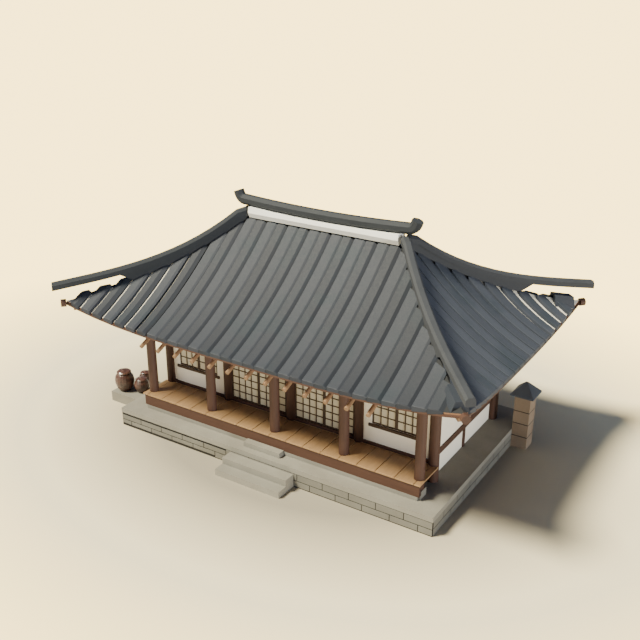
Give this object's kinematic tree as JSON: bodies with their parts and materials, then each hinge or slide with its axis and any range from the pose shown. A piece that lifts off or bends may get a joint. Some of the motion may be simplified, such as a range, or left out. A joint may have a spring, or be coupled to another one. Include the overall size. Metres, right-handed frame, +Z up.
{
  "type": "hanok house",
  "caption": "Single-storey timber-frame house on a stone platform, with a front veranda, lattice doors and a sweeping hipped tile roof.",
  "frame": {"origin": "centre of the platform's underside, at ground level", "axes": "+X along the front, to the right of someone who looks at the front; +Y to the rear; +Z up"},
  "size_m": [14.1045, 9.2794, 7.5304],
  "materials": {
    "stone": "matte",
    "deck_wood": "satin",
    "column_wood": "satin",
    "dark_wood": "matte",
    "pale_wood": "matte",
    "plaster": "matte",
    "paper_lattice": "matte",
    "roof_tile": "matte",
    "ridge_tile": "matte",
    "ridge_plaster": "matte",
    "brick": "matte",
    "jar_glaze": "satin"
  },
  "bodies": {
    "house": {"platform_base": "stone", "platform_capstones": "stone", "lower_step": "stone", "upper_step": "stone", "stepping_stone": "stone", "room_floor": "stone", "jar_stand": "stone", "veranda_deck": "deck_wood", "veranda_beam": "column_wood", "front_wall_frame": "column_wood", "rear_wall_frame": "column_wood", "left_wall_rails": "column_wood", "right_wall_rails": "column_wood", "eave_boards": "column_wood", "front_column_1": "column_wood", "front_column_2": "column_wood", "front_column_3": "column_wood", "front_column_4": "column_wood", "front_column_5": "column_wood", "front_window_sill_left": "dark_wood", "front_window_sill_right": "dark_wood", "front_rafters": "pale_wood", "rear_rafters": "pale_wood", "left_rafters": "pale_wood", "right_rafters": "pale_wood", "front_wall_left": "plaster", "front_wall_right": "plaster", "front_wall_above_doors": "plaster", "left_wall": "plaster", "right_wall": "plaster", "rear_wall": "plaster", "front_window_left": "paper_lattice", "front_window_right": "paper_lattice", "rear_window_left": "paper_lattice", "rear_window_right": "paper_lattice", "front_roof_slope": "roof_tile", "rear_roof_slope": "roof_tile", "left_roof_slope": "roof_tile", "right_roof_slope": "roof_tile", "ridge_cap": "ridge_tile", "hip_ridge_left_front": "ridge_tile", "hip_ridge_right_front": "ridge_tile", "hip_ridge_left_rear": "ridge_tile", "hip_ridge_right_rear": "ridge_tile", "chimney_cap": "ridge_tile", "ridge_base": "ridge_plaster", "chimney_stack": "brick", "large_jar": "jar_glaze", "middle_jar": "jar_glaze", "small_jar": "jar_glaze"},
    "left_door_outer_leaf": {"left_door_outer": "paper_lattice"},
    "left_door_inner_leaf": {"left_door_inner": "paper_lattice"},
    "right_door_inner_leaf": {"right_door_inner": "paper_lattice"},
    "right_door_outer_leaf": {"right_door_outer": "paper_lattice"}
  },
  "joints": [
    {"name": "left_door_outer_hinge", "type": "hinge", "parent": "house", "child": "left_door_outer_leaf", "pos_m": [-2.234, -1.82, 2.15], "axis": [0, 0, -1], "range_deg": [0, 90]},
    {"name": "left_door_inner_hinge", "type": "hinge", "parent": "house", "child": "left_door_inner_leaf", "pos_m": [-0.166, -1.82, 2.15], "axis": [0, 0, 1], "range_deg": [0, 90]},
    {"name": "right_door_inner_hinge", "type": "hinge", "parent": "house", "child": "right_door_inner_leaf", "pos_m": [0.166, -1.82, 2.15], "axis": [0, 0, -1], "range_deg": [0, 90]},
    {"name": "right_door_outer_hinge", "type": "hinge", "parent": "house", "child": "right_door_outer_leaf", "pos_m": [2.234, -1.82, 2.15], "axis": [0, 0, 1], "range_deg": [0, 90]}
  ]
}
